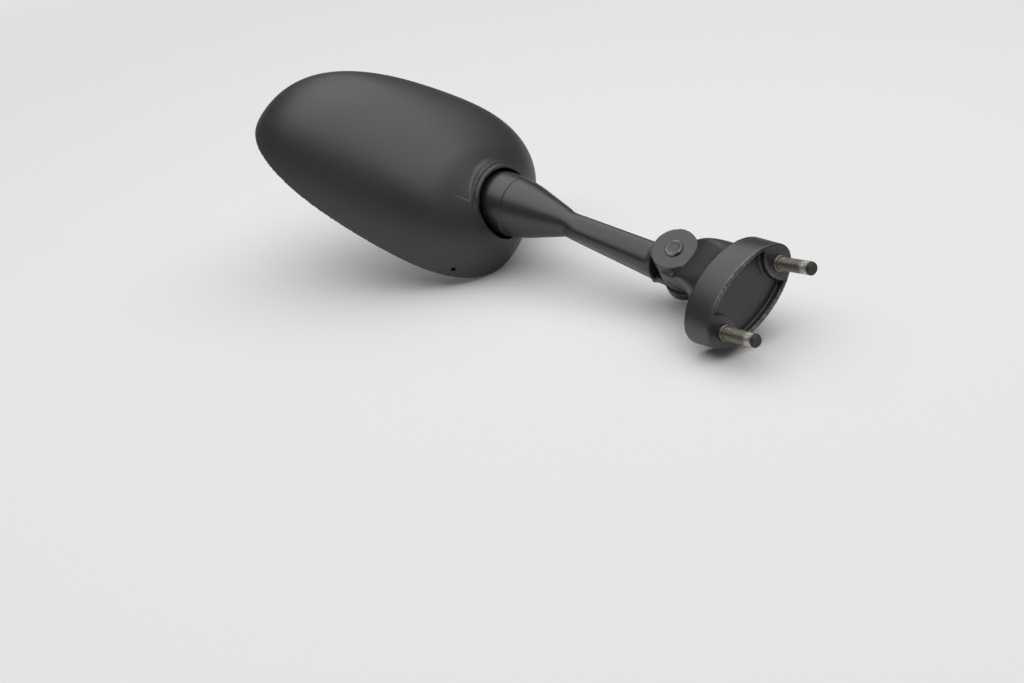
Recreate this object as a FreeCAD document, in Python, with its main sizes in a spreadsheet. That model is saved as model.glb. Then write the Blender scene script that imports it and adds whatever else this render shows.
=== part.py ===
import FreeCAD, Part
import math
import os
import Sketcher
from FreeCAD import Placement, Rotation, Vector

# Folding fairing mirror, lying on its flange and the rim of its head.
# Millimetres and degrees. +Z is up, and the origin is the middle of the mounting face.

DIMENSIONS = (
    # Pose of the foot as the mirror lies.
    ("foot_yaw", 70.0, "heading of the stud line"),
    ("foot_pitch", -30.4, "rise of the stud line"),
    ("foot_roll", 77.1, "turn about the stud line"),
    # Mounting face and studs.
    ("stud_spacing", 40.0, "centre to centre of the studs"),
    ("stud_dia", 6.0, "thread"),
    ("stud_out", 22.0, "stud beyond the mounting face"),
    ("stud_in", 10.0, "stud cast into the foot"),
    ("stud_collar_dia", 7.2, "collar at the root"),
    ("stud_collar_len", 1.8, "collar at the root"),
    ("stud_tip", 0.9, "chamfer at the tip"),
    ("face_len", 56.0, "mounting face, long axis"),
    ("face_wid", 27.6, "mounting face, short axis"),
    ("face_shift", 1.0, "middle of the face's outline beside the stud line"),
    ("flange_swell", 0.4, "widening of the flange towards its back, long axis"),
    ("flange_flare", 2.4, "widening of the flange towards its back, short axis"),
    ("flange_lean", 1.0, "back of the flange shifted across the stud line"),
    ("flange_thick", 15.0, "face to back of the flange"),
    ("lip_wid", 1.8, "raised lip round the recess"),
    ("recess_depth", 3.5, "recess in the mounting face"),
    ("stud_pad_dia", 22.0, "solid end of the recess round a stud"),
    ("stud_pad_shift", 4.5, "pad centre beyond the stud"),
    ("neck_root_len", 41.0, "neck where it leaves the flange"),
    ("neck_root_wid", 28.5, "neck where it leaves the flange"),
    ("neck_flare_len", 36.0, "neck at the foot of its flare"),
    ("neck_flare_wid", 26.5, "neck at the foot of its flare"),
    ("neck_mid_len", 31.0, "neck half way to the hinge"),
    ("neck_mid_wid", 25.5, "neck half way to the hinge"),
    ("neck_hold", 7.0, "straight end of the neck behind the pivot"),
    ("neck_roll", 11.0, "neck rolled against the pivot axis, far side up"),
    # Fold hinge.
    ("hinge_side", 6.0, "pivot from the middle of the face, along the stud line"),
    ("hinge_rise", 9.0, "pivot from the middle of the face, across the stud line"),
    ("hinge_back", 49.8, "pivot behind the mounting face"),
    ("hinge_tilt", 24.0, "lean of the pivot axis towards the studs"),
    ("fold_rest", 3.6, "arm turned on the pivot as it lies"),
    ("ear_dia", 22.0, "round end of the clevis ears"),
    ("ear_top", 10.0, "disc on the upper ear above the rod's middle"),
    ("ear_thick", 5.0, "lower ear"),
    ("tongue_drop", 9.0, "tongue below the rod's middle"),
    ("disc_proud", 1.2, "disc above the flank of the neck"),
    ("seat_wid", 0.6, "spot face round a disc of the clevis"),
    ("seat_depth", 0.9, "spot face below the disc"),
    ("ear_edge", 1.6, "rounding of the neck at the hinge"),
    ("pivot_dia", 8.0, "rivet shank"),
    ("rivet_head_dia", 8.8, "peened end"),
    ("rivet_head_thick", 1.0, "peened end"),
    ("rivet_foot_dia", 13.0, "factory head"),
    ("washer_thick", 0.8, "friction washer beside the tongue"),
    ("tongue_thick", 5.0, "tongue of the arm between the ears"),
    ("tongue_hold", 4.0, "tongue carried on into the rod"),
    ("hinge_play", 0.05, "between tongue, washer and ear"),
    ("pivot_play", 0.08, "round the rivet in the tongue"),
    ("slot_back", 13.0, "slot of the clevis behind the pivot"),
    ("shoulder_gap", 0.5, "between disc and shoulder of the arm"),
    # Arm.
    ("cone_len", 45.7, "end of the rod to the ball"),
    ("cone_bend", 4.2, "cone turned against the rod, in the plane of the fold"),
    ("rod_offset", 4.0, "rod beside the pivot"),
    ("rod_start", 9.5, "first section of the rod from the pivot"),
    ("rod_root_wid", 15.8, "rod at the hinge, across"),
    ("rod_root_high", 20.0, "rod at the hinge, along the pivot"),
    ("rod_root_drop", 2.0, "first section of the rod below its middle"),
    ("rod_dia", 12.8, "rod at the cone"),
    ("cone_start", 66.0, "end of the rod from the pivot"),
    ("ball_dia", 36.0, "ball end"),
    ("seam_from_centre", 9.0, "seam of cone and ball from the ball's centre"),
    ("seam_wid", 0.6, "groove at the seam"),
    ("seam_depth", 0.5, "groove at the seam"),
    # Ball joint in the head.
    ("ball_play", 0.06, "between the sliding spheres"),
    ("socket_wall", 2.2, "bowl of the socket"),
    ("liner_thick", 0.8, "friction liner"),
    ("cup_thick", 1.6, "pressure cup"),
    ("cup_seat", 0.65, "flat ground on the crown of the cup"),
    ("cup_dia", 28.0, "pressure cup across"),
    ("liner_dia", 27.0, "friction liner across"),
    ("liner_hole", 14.6, "hole in the liner"),
    ("socket_hole", 15.6, "hole in the bowl, about the bolt"),
    ("bolt_dia", 6.0, "joint bolt"),
    ("bolt_reach", 12.0, "thread of the bolt in the ball"),
    ("bolt_head_dia", 10.4, "joint bolt head"),
    ("bolt_head_high", 3.3, "joint bolt head"),
    ("bolt_key", 5.0, "hexagon across flats"),
    ("bolt_key_deep", 2.0, "hexagon depth"),
    ("bolt_play", 0.15, "round the bolt in springs and cup"),
    ("bolt_washer_dia", 11.6, "hard washer under the head"),
    ("bolt_washer_thick", 0.9, "hard washer under the head"),
    ("spring_dia", 12.0, "disc spring"),
    ("spring_thick", 0.6, "disc spring"),
    ("spring_dish", 0.45, "disc spring, free cone"),
    # Head: pose on the ball, shell and collar.
    ("head_yaw", 14.0, "head on the arm"),
    ("head_pitch", -39.8, "head on the arm"),
    ("head_roll", 20.1, "head on the arm"),
    ("ball_from_end", 20.85, "ball from the near end of the rim, long axis"),
    ("ball_across", 15.4, "ball from the middle of the rim, short axis"),
    ("ball_above", 27.9, "ball above the rim plane"),
    ("shell_len", 151.7, "rim, long axis"),
    ("shell_wid", 104.8, "rim, short axis"),
    ("shell_high", 45.4, "dome above the rim"),
    ("shell_egg", 0.238, "taper of the rim towards the far end"),
    ("shell_square", 2.53, "squareness of the rim, 2 is an ellipse"),
    ("shell_full", 0.643, "fullness of the dome's profile"),
    ("crown_along", -7.1, "crown from the middle of the rim, long axis"),
    ("crown_across", -4.5, "crown from the middle of the rim, short axis"),
    ("shell_wall", 2.5, "shell"),
    ("collar_turn", 145.5, "heading of the collar in the rim plane"),
    ("collar_rise", 45.3, "collar axis above the rim plane"),
    ("collar_lip", 6.0, "lip of the collar before the ball's centre"),
    ("collar_mouth", 37.8, "opening of the collar"),
    ("collar_dia", 41.8, "inner step of the collar"),
    ("collar_step_dia", 45.6, "outer step of the collar"),
    ("collar_step", 1.7, "outer step below the lip"),
    ("collar_deep", 9.0, "collar behind the ball's centre"),
    ("socket_gap", 0.8, "socket to backing plate"),
    ("drain_dia", 2.4, "drain hole"),
    ("drain_from_end", 31.25, "drain hole from the near end of the rim, long axis"),
    ("drain_high", 5.0, "drain hole above the rim"),
    # Glass and its backing.
    ("glass_radius", 1200.0, "convex mirror"),
    ("glass_sunk", 0.8, "crown of the glass inside the rim"),
    ("glass_thick", 2.0, "glass"),
    ("glass_gap", 0.6, "glass to shell"),
    ("foam_thick", 0.8, "foam tape"),
    ("foam_film", 0.05, "adhesive film on each side of the foam"),
    ("foam_inset", 3.0, "foam inside the edge of the glass"),
    ("plate_thick", 2.0, "backing plate"),
    ("plate_inset", 0.6, "plate inside the edge of the glass"),
    ("joint_window", 40.0, "opening in plate and foam at the joint bolt"),
    ("window_shift", 13.0, "opening from the ball, along the bolt"),
    ("post_dia", 7.0, "screw post in the shell"),
    ("post_gap", 0.05, "post to plate"),
    ("screw_dia", 2.9, "plate screw"),
    ("screw_len", 8.0, "plate screw below the head"),
    ("screw_head_dia", 5.6, "plate screw head"),
    ("screw_head_high", 1.2, "plate screw head"),
    ("screw_sunk", 1.0, "plate left in front of the screw seat"),
    ("screw_play", 0.3, "round a screw in the plate"),
    ("post_far_from_end", 27.85, "far pair of posts from the far end of the rim"),
    ("post_far_from_side", 33.4, "far pair of posts from the rim's widest sides"),
    ("post_near_from_end", 79.85, "near pair of posts from the far end of the rim"),
    ("post_near_from_side", 15.4, "near pair of posts from the rim's widest sides"),
)

doc = FreeCAD.newDocument("folding_mirror")
sheet = doc.addObject("Spreadsheet::Sheet", "sizes")
for row, (alias, value, note) in enumerate(DIMENSIONS, start=1):
    sheet.set(f"A{row}", alias)
    sheet.set(f"B{row}", str(value))
    sheet.set(f"C{row}", note)
    sheet.setAlias(f"B{row}", alias)
doc.recompute()


class Size:
    """A length or angle as a number, with the sheet formula that gives it."""

    def __init__(self, value, formula):
        self.value = value
        self.formula = formula

    def joined(self, other, sign, value):
        formula = other.formula if isinstance(other, Size) else f"({other})"
        return Size(value, f"({self.formula} {sign} {formula})")

    def __add__(self, other):
        return self.joined(other, "+", self.value + number(other))

    def __sub__(self, other):
        return self.joined(other, "-", self.value - number(other))

    def __mul__(self, other):
        return self.joined(other, "*", self.value * number(other))

    def __truediv__(self, other):
        return self.joined(other, "/", self.value / number(other))

    def __neg__(self):
        return Size(-self.value, f"(-{self.formula})")


def number(size):
    return size.value if isinstance(size, Size) else size


def size(alias):
    return Size(float(sheet.get(alias)), f"sizes.{alias}")


def mm(alias):
    return size(alias).value


ZERO = Size(0.0, "0")
WHOLE_TURN = 360.0
HALF_TURN = 180.0
QUARTER_TURN = 90.0
NO_TURN = Rotation()
ALONG_X = Rotation(Vector(0, 1, 0), QUARTER_TURN)
ABOUT_X = Vector(1, 0, 0)
UPSIDE_DOWN = Rotation(ABOUT_X, HALF_TURN)
HERE = Placement()
# Points of a sketched line or arc, and the sketch's own origin.
POINT = {"start": 1, "end": 2, "centre": 3}
ORIGIN = (-1, 1)


def at(x, y, z, turn=NO_TURN):
    return Placement(Vector(number(x), number(y), number(z)), turn)


# Building helpers: primitives, booleans, sections and turned pieces with sizes bound to the sheet.

def primitive(kind, name, place, **sizes):
    solid = doc.addObject(f"Part::{kind}", name)
    for prop, length in sizes.items():
        solid.setExpression(prop, length.formula)
    solid.Placement = place
    return solid


def cylinder(name, place, dia, height):
    return primitive("Cylinder", name, place, Radius=dia / 2, Height=height)


def sphere(name, place, dia):
    return primitive("Sphere", name, place, Radius=dia / 2)


def fuse(name, *solids):
    joined = doc.addObject("Part::MultiFuse", name)
    joined.Shapes = list(solids)
    return joined


def common(name, *solids):
    shared = doc.addObject("Part::MultiCommon", name)
    shared.Shapes = list(solids)
    return shared


def cut(name, solid, *tools):
    rest = doc.addObject("Part::Cut", name)
    rest.Base = solid
    rest.Tool = tools[0] if len(tools) == 1 else fuse(f"{name}_tools", *tools)
    return rest


def group(name, *solids):
    several = doc.addObject("Part::Compound", name)
    several.Links = list(solids)
    return several


def ellipse(name, place, width, height):
    return primitive("Ellipse", name, place, MajorRadius=width / 2, MinorRadius=height / 2)


def loft(name, sections, ruled=False):
    skin = doc.addObject("Part::Loft", name)
    skin.Sections = list(sections)
    skin.Solid = True
    skin.Ruled = ruled
    return skin


def prism(name, outline, height):
    block = doc.addObject("Part::Extrusion", name)
    block.Base = outline
    block.DirMode = "Custom"
    block.Dir = Vector(0, 0, 1)
    block.Solid = True
    block.setExpression("LengthFwd", height.formula)
    return block


def turned(name, corners, place=HERE):
    """A solid of revolution about Z from (radius, height) corners."""
    profile = doc.addObject("Sketcher::SketchObject", f"{name}_profile")
    profile.Placement = Placement(Vector(), Rotation(ABOUT_X, QUARTER_TURN))
    points = [Vector(number(radius), number(height), 0) for radius, height in corners]
    count = len(points)
    for index in range(count):
        profile.addGeometry(Part.LineSegment(points[index], points[(index + 1) % count]))
    for index in range(count):
        profile.addConstraint(Sketcher.Constraint("Coincident", index, POINT["end"], (index + 1) % count,
                                                  POINT["start"]))
    for index, (radius, height) in enumerate(corners):
        for kind, length in (("DistanceX", radius), ("DistanceY", height)):
            reach = Sketcher.Constraint(kind, *ORIGIN, index, POINT["start"], number(length))
            row = profile.addConstraint(reach)
            profile.setExpression(f"Constraints[{row}]", length.formula)
    solid = doc.addObject("Part::Revolution", name)
    solid.Source = profile
    solid.Axis = Vector(0, 0, 1)
    solid.Angle = WHOLE_TURN
    solid.Solid = True
    solid.Placement = place
    return solid


def rounded_section(name, place, width, height, radius):
    """A rectangle with rounded corners, centred on its plane."""
    outline = doc.addObject("Sketcher::SketchObject", name)
    x, y, r = width.value / 2, height.value / 2, radius.value
    ends = ((Vector(r - x, -y, 0), Vector(x - r, -y, 0)), (Vector(x, r - y, 0), Vector(x, y - r, 0)),
            (Vector(x - r, y, 0), Vector(r - x, y, 0)), (Vector(-x, y - r, 0), Vector(-x, r - y, 0)))
    centres = (Vector(x - r, r - y, 0), Vector(x - r, y - r, 0),
               Vector(r - x, y - r, 0), Vector(r - x, r - y, 0))
    for side, (start, end) in enumerate(ends):
        outline.addGeometry(Part.LineSegment(start, end))
        circle = Part.Circle(centres[side], Vector(0, 0, 1), r)
        begin = math.radians((side - 1) * QUARTER_TURN)
        outline.addGeometry(Part.ArcOfCircle(circle, begin, begin + math.pi / 2))
    bottom, right, top, left = 0, 2, 4, 6
    first_arc, second_arc, third_arc = 1, 3, 5
    start, end, centre = POINT["start"], POINT["end"], POINT["centre"]
    count = outline.GeometryCount
    for index in range(count):
        outline.addConstraint(Sketcher.Constraint("Tangent", index, end, (index + 1) % count, start))
    for line in (bottom, top):
        outline.addConstraint(Sketcher.Constraint("Horizontal", line))
    for line in (right, left):
        outline.addConstraint(Sketcher.Constraint("Vertical", line))
    for arc in (second_arc, third_arc):
        outline.addConstraint(Sketcher.Constraint("Equal", first_arc, arc))
    outline.addConstraint(Sketcher.Constraint("Symmetric", first_arc, centre, third_arc, centre, *ORIGIN))
    for constraint, length in (
            (Sketcher.Constraint("DistanceX", left, start, right, start, width.value), width),
            (Sketcher.Constraint("DistanceY", bottom, start, top, start, height.value), height),
            (Sketcher.Constraint("Radius", first_arc, r), radius)):
        row = outline.addConstraint(constraint)
        outline.setExpression(f"Constraints[{row}]", length.formula)
    outline.Placement = place
    return outline


nodes = []


def node(name, solid, frame):
    """Names a finished sub-part and puts it in its frame."""
    solid.Label = name
    solid.Placement = frame
    nodes.append(solid)


# Frames: foot, hinge, arm, ball and head, each carried by the one before.

foot_frame = at(0, 0, 0, Rotation(mm("foot_yaw"), mm("foot_pitch"), mm("foot_roll")))
lean = math.radians(mm("hinge_tilt"))
hinge_turn = Rotation(Vector(0, math.sin(lean), -math.cos(lean)), Vector(-1, 0, 0),
                      Vector(0, math.cos(lean), math.sin(lean)), "ZXY")
hinge_in_foot = at(mm("hinge_side"), mm("hinge_rise"), -mm("hinge_back"), hinge_turn)
arm_frame = foot_frame * hinge_in_foot * at(0, 0, 0, Rotation(Vector(0, 0, 1), mm("fold_rest")))
cone_in_arm = at(size("cone_start"), size("rod_offset"), 0, Rotation(Vector(0, 0, 1), mm("cone_bend")))
ball_in_arm = cone_in_arm * at(size("cone_len"), 0, 0)
ball_frame = arm_frame * ball_in_arm
half_rim_len = size("shell_len") / 2
half_rim_wid = size("shell_wid") / 2
ball_in_head = at(size("ball_from_end") - half_rim_len, size("ball_across"), size("ball_above"))
head_turn = Rotation(mm("head_yaw"), mm("head_pitch"), mm("head_roll"))
head_frame = ball_frame * at(0, 0, 0, head_turn) * ball_in_head.inverse()
collar_turn = Rotation(mm("collar_turn"), QUARTER_TURN - mm("collar_rise"), 0)
collar_in_head = ball_in_head * at(0, 0, 0, collar_turn)


# Foot: one casting with an oval flange, a flared neck and the two ears of the clevis.

slot_half = size("tongue_thick") / 2 + size("hinge_play") * 2 + size("washer_thick")
tongue_middle = -size("tongue_drop")
ear_top = size("ear_top")
ear_base = tongue_middle - slot_half - size("ear_thick")
ear_high = ear_top - ear_base
flank_high = ear_high - size("disc_proud")
flank_middle = ear_base + flank_high / 2
flange = loft("flange", (
    ellipse("flange_front", at(0, size("face_shift"), 0), size("face_len"), size("face_wid")),
    ellipse("flange_back", at(0, size("face_shift") + size("flange_lean"), -size("flange_thick")),
            size("face_len") + size("flange_swell") * 2, size("face_wid") + size("flange_flare") * 2)),
    ruled=True)

NECK_HEAD = Placement(Vector(), Rotation(ABOUT_X, mm("hinge_tilt")) * Rotation(mm("neck_roll"), 0, 0))
pivot_in_foot = hinge_in_foot.Base
ear_radius = size("ear_dia") / 2


def behind_pivot(distance):
    """Section plane of the neck, square to the arm, at a distance behind the pivot."""
    place = Placement(NECK_HEAD)
    place.Base = pivot_in_foot + NECK_HEAD.Rotation.multVec(Vector(0, flank_middle.value, distance))
    return place


def along_neck(depth, share, side_share):
    """Section plane of the neck at a depth below the face and a share of the way to the pivot."""
    place = Placement(Vector(), Rotation(ABOUT_X, mm("hinge_tilt") * share))
    place.Base = Vector(pivot_in_foot.x * side_share, (pivot_in_foot.y + flank_middle.value) * share, -depth)
    return place


# Stations of the neck: depth in flange thicknesses, way to the pivot, step to its side, corner rounding.
NECK_STATIONS = (("root", 0.93, 0.45, 0.2, 0.48), ("flare", 1.35, 0.6, 0.5, 0.42),
                 ("mid", 1.8, 0.75, 0.75, 0.3))
head_section = (size("ear_dia"), flank_high, size("ear_edge"))
neck_sections = []
for station, depth, way, step, corner in NECK_STATIONS:
    neck_wid = size(f"neck_{station}_wid")
    neck_plane = along_neck(mm("flange_thick") * depth, way, step)
    neck_sections.append(rounded_section(f"neck_{station}", neck_plane, size(f"neck_{station}_len"), neck_wid,
                                         neck_wid * corner))
neck_sections.append(rounded_section("neck_end", behind_pivot(mm("neck_hold")), *head_section))
neck = loft("neck", neck_sections)
neck_head = loft("neck_head", (
    rounded_section("neck_head_back", behind_pivot(mm("neck_hold")), *head_section),
    rounded_section("neck_head_front", behind_pivot(0.0), *head_section)), ruled=True)


def on_pivot(height):
    return hinge_in_foot * at(0, 0, height)


ears = cylinder("ears", on_pivot(ear_base), size("ear_dia"), ear_high)
seat_dia = size("ear_dia") + size("seat_wid") * 2
seats = [cylinder(f"disc_seat_{side}", on_pivot(start), seat_dia, ear_high)
         for side, start in (("upper", ear_top - size("seat_depth")),
                             ("lower", ear_base + size("seat_depth") - ear_high))]
neck_body = cut("neck_body", fuse("neck_joined", neck, neck_head), *seats)
casting = fuse("foot_casting", flange, neck_body, ears)

recess_oval = ellipse("recess_oval", at(0, size("face_shift"), -size("recess_depth")),
                      size("face_len") - size("lip_wid") * 2, size("face_wid") - size("lip_wid") * 2)
recess_block = prism("recess_block", recess_oval, size("recess_depth") * 2)
pad_reach = size("stud_spacing") / 2 + size("stud_pad_shift")
pads = [cylinder(f"stud_pad_{side}", at(pad_reach * sign, 0, -size("recess_depth") * 2), size("stud_pad_dia"),
                 size("recess_depth") * 4)
        for side, sign in (("upper", 1), ("lower", -1))]
recess = cut("recess", recess_block, *pads)
stud_holes = [cylinder(f"stud_hole_{side}", at(size("stud_spacing") / 2 * sign, 0, -size("stud_in")),
                       size("stud_dia"), size("stud_in") * 2)
              for side, sign in (("upper", 1), ("lower", -1))]
slot_place = hinge_in_foot * at(-size("slot_back"), -size("ear_dia"), tongue_middle - slot_half)
slot = primitive("Box", "clevis_slot", slot_place, Length=size("slot_back") + size("ear_dia"),
                 Width=size("ear_dia") * 2, Height=slot_half * 2)
pivot_bore = cylinder("pivot_bore", on_pivot(ear_base * 2), size("pivot_dia"), ear_high * 2)
foot = cut("foot", casting, recess, slot, pivot_bore, *stud_holes)
node("base_foot", foot, foot_frame)


# Studs: two turned screws cast into the foot, with a collar at the root and a chamfered tip.

stud_radius = size("stud_dia") / 2
collar_radius = size("stud_collar_dia") / 2
stud_corners = (
    (stud_radius, size("stud_collar_len")), (stud_radius, size("stud_out") - size("stud_tip")),
    (stud_radius - size("stud_tip"), size("stud_out")), (ZERO, size("stud_out")), (ZERO, -size("stud_in")),
    (stud_radius, -size("stud_in")), (stud_radius, ZERO), (collar_radius, ZERO),
    (collar_radius, size("stud_collar_len")))
studs = [turned(f"stud_{side}", stud_corners, at(size("stud_spacing") / 2 * sign, 0, 0))
         for side, sign in (("upper", 1), ("lower", -1))]
node("mounting_studs", group("studs", *studs), foot_frame)


# Pivot: a rivet peened over the upper disc, and a friction washer on each side of the tongue.

hinge_frame = foot_frame * hinge_in_foot
pivot_radius = size("pivot_dia") / 2
rivet_top = ear_top + size("rivet_head_thick")
rivet_base = ear_base - size("rivet_head_thick")
RIVET_RIM = 0.4
rivet_head_radius = size("rivet_head_dia") / 2
rivet_foot_radius = size("rivet_foot_dia") / 2
rivet = turned("rivet", (
    (ZERO, rivet_base), (rivet_foot_radius - size("rivet_head_thick") / 2, rivet_base),
    (rivet_foot_radius, ear_base), (pivot_radius, ear_base), (pivot_radius, ear_top),
    (rivet_head_radius, ear_top), (rivet_head_radius, ear_top + size("rivet_head_thick") * RIVET_RIM),
    (rivet_head_radius - size("rivet_head_thick"), rivet_top), (ZERO, rivet_top)))
node("pivot_rivet", rivet, hinge_frame)

washer_inner = pivot_radius + size("pivot_play")
washer_outer = ear_radius - size("shoulder_gap") * 2
washer_base = size("tongue_thick") / 2 + size("hinge_play")
washer_top = washer_base + size("washer_thick")
washer_corners = ((washer_inner, washer_base), (washer_outer, washer_base), (washer_outer, washer_top),
                  (washer_inner, washer_top))
washers = [turned(f"washer_{side}", washer_corners, at(0, 0, tongue_middle, turn))
           for side, turn in (("upper", NO_TURN), ("lower", UPSIDE_DOWN))]
node("pivot_washers", group("washers", *washers), hinge_frame)


# Arm: one casting, from the tongue over the tapered rod and the cone to the ball.

rod_line = size("rod_offset")
ball_radius = size("ball_dia") / 2
seam_radius = Size(math.sqrt(ball_radius.value ** 2 - mm("seam_from_centre") ** 2),
                   f"sqrt({ball_radius.formula} ^ 2 - sizes.seam_from_centre ^ 2)")
seam_at = size("cone_len") - size("seam_from_centre")
ROOT_TURN = Rotation(Vector(0, 0, 1), Vector(0, -1, 0), Vector(1, 0, 0), "ZXY")
rod = loft("rod", (
    ellipse("rod_root", at(size("rod_start"), rod_line, -size("rod_root_drop"), ROOT_TURN),
            size("rod_root_high"), size("rod_root_wid")),
    ellipse("rod_end", at(size("cone_start"), rod_line, 0, ROOT_TURN), size("rod_dia"), size("rod_dia"))))
shoulder = cylinder("shoulder_cut", at(0, 0, ear_base), size("ear_dia") + size("shoulder_gap") * 2,
                    ear_high * 2)
cone = primitive("Cone", "cone", cone_in_arm * at(0, 0, 0, ALONG_X), Radius1=size("rod_dia") / 2,
                 Radius2=seam_radius, Height=seam_at)
ball = sphere("ball", ball_in_arm, size("ball_dia"))
tongue_radius = ear_radius - size("shoulder_gap") * 2
tongue_base = tongue_middle - size("tongue_thick") / 2
tongue_eye = cylinder("tongue_eye", at(0, 0, tongue_base), tongue_radius * 2, size("tongue_thick"))
tongue_run = size("rod_start") + size("tongue_hold")
TONGUE_SHARE = 0.7
tongue_wid = size("rod_root_wid") * TONGUE_SHARE
tongue_bar = primitive("Box", "tongue_bar", at(0, rod_line - tongue_wid / 2, tongue_base), Length=tongue_run,
                       Width=tongue_wid, Height=size("tongue_thick"))
seam_ring = turned("seam_ring", (
    (seam_radius - size("seam_depth"), -size("seam_wid") / 2), (ball_radius, -size("seam_wid") / 2),
    (ball_radius, size("seam_wid") / 2), (seam_radius - size("seam_depth"), size("seam_wid") / 2)),
    cone_in_arm * at(seam_at, 0, 0, ALONG_X))
tongue_bore = cylinder("tongue_bore", at(0, 0, ear_base), size("pivot_dia") + size("pivot_play") * 2,
                       ear_high)
bolt_tap = cylinder("bolt_tap", ball_in_arm * at(ball_radius - size("bolt_reach"), 0, 0, ALONG_X),
                    size("bolt_dia"), size("bolt_reach") * 2)
arm_body = fuse("arm_body", cut("rod_with_shoulder", rod, shoulder), cone, ball, tongue_eye, tongue_bar)
node("arm", cut("arm_casting", arm_body, seam_ring, tongue_bore, bolt_tap), arm_frame)


# Ball joint: cup and liner ride on the back of the socket bowl, under disc springs and a bolt.

joint_frame = ball_frame * at(0, 0, 0, ALONG_X)
socket_inner = ball_radius + size("ball_play")
socket_outer = socket_inner + size("socket_wall")
liner_inner = socket_outer + size("ball_play")
liner_outer = liner_inner + size("liner_thick")
cup_inner = liner_outer + size("ball_play")
cup_outer = cup_inner + size("cup_thick")
spring_base = cup_outer - size("cup_seat")
bolt_hole = size("bolt_dia") + size("bolt_play") * 2


def bowl(name, inner, outer, dia, top):
    """A cap of a hollow sphere about the ball's centre, cut to a diameter and a height."""
    outside = sphere(f"{name}_outside", HERE, outer * 2)
    hollow = cut(f"{name}_sphere", outside, sphere(f"{name}_inside", HERE, inner * 2))
    return common(f"{name}_cap", hollow, cylinder(f"{name}_trim", HERE, dia, top))


cup_cap = bowl("cup", cup_inner, cup_outer, size("cup_dia"), spring_base)
cup = cut("cup_bored", cup_cap, cylinder("cup_hole", HERE, bolt_hole, cup_outer * 2))
node("pressure_cup", cup, joint_frame)

liner_cap = bowl("liner", liner_inner, liner_outer, size("liner_dia"), liner_outer)
liner_bore = cylinder("liner_bore", HERE, size("liner_hole"), liner_outer * 2)
liner = cut("liner_bored", liner_cap, liner_bore)
node("friction_liner", liner, joint_frame)

spring_inner = bolt_hole / 2
spring_outer = size("spring_dia") / 2
spring_high = size("spring_thick") + size("spring_dish")
spring_corners = ((spring_inner, size("spring_dish")), (spring_outer, ZERO),
                  (spring_outer, size("spring_thick")), (spring_inner, spring_high))
springs = [turned("spring_lower", spring_corners, at(0, 0, spring_base)),
           turned("spring_upper", spring_corners, at(0, 0, spring_base + spring_high * 2, UPSIDE_DOWN))]
node("disc_springs", group("springs", *springs), joint_frame)

washer_seat = spring_base + spring_high * 2
head_seat = washer_seat + size("bolt_washer_thick")
bolt_washer_radius = size("bolt_washer_dia") / 2
bolt_washer = turned("hard_washer", (
    (spring_inner, washer_seat), (bolt_washer_radius, washer_seat), (bolt_washer_radius, head_seat),
    (spring_inner, head_seat)))
node("bolt_washer", bolt_washer, joint_frame)

bolt_radius = size("bolt_dia") / 2
bolt_head_radius = size("bolt_head_dia") / 2
bolt_end = head_seat + size("bolt_head_high")
bolt_start = ball_radius - size("bolt_reach")
bolt_blank = turned("bolt_blank", (
    (ZERO, bolt_start), (bolt_radius, bolt_start), (bolt_radius, head_seat), (bolt_head_radius, head_seat),
    (bolt_head_radius, bolt_end), (ZERO, bolt_end)))
bolt_key = primitive("Prism", "bolt_key", at(0, 0, bolt_end - size("bolt_key_deep")),
                     Circumradius=size("bolt_key") / math.sqrt(3), Height=size("bolt_key_deep") * 2)
node("ball_bolt", cut("bolt", bolt_blank, bolt_key), joint_frame)


# Head shell: a moulded dome, open at the rim, with the socket for the ball and its stepped collar.

RING_POLES = 24
CUBIC = 3
RING_SWELL = 3 / (2 + math.cos(2 * math.pi / RING_POLES))


def rim_ring(inset):
    """Control points of the rim's outline, drawn in by an inset."""
    half_len = mm("shell_len") / 2 - inset
    half_wid = mm("shell_wid") / 2 - inset
    power = 2 / mm("shell_square")
    ring = []
    for index in range(RING_POLES):
        turn = 2 * math.pi * index / RING_POLES
        along = math.copysign(abs(math.cos(turn)) ** power, math.cos(turn))
        across = math.copysign(abs(math.sin(turn)) ** power, math.sin(turn))
        across = across * (1 - mm("shell_egg") * along)
        ring.append(Vector(half_len * along, half_wid * across, 0) * RING_SWELL)
    return ring


def dome_solid(inset, floor):
    """The dome as a closed solid: four control rings, from the rim up to the crown."""
    height = mm("shell_high") - inset
    crown = Vector(mm("crown_along"), mm("crown_across"), 0)
    profile = ((1.0, floor / height), (1.0, mm("shell_full")), (mm("shell_full"), 1.0), (0.0, 1.0))
    net = [[point * spread + crown * max(rise, 0.0) + Vector(0, 0, rise * height) for spread, rise in profile]
           for point in rim_ring(inset)]
    skin = Part.BSplineSurface()
    skin.buildFromPolesMultsKnots(net, [1] * (RING_POLES + 1), [CUBIC + 1] * 2, list(range(RING_POLES + 1)),
                                  [0, 1], True, False, CUBIC, CUBIC)
    dome = skin.toShape()
    rim = min(dome.Edges, key=lambda edge: edge.BoundBox.ZMax)
    opening = Part.Face(Part.Wire([rim])).reversed()
    return Part.Solid(Part.Shell([dome, opening]))


def modelled(name, shape):
    solid = doc.addObject("Part::Feature", name)
    solid.Shape = shape
    return solid


CLEAR = 1.0
outer_dome = modelled("outer_dome", dome_solid(0.0, 0.0))
skin = modelled("skin", outer_dome.Shape.cut(dome_solid(mm("shell_wall"), -CLEAR)))

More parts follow.
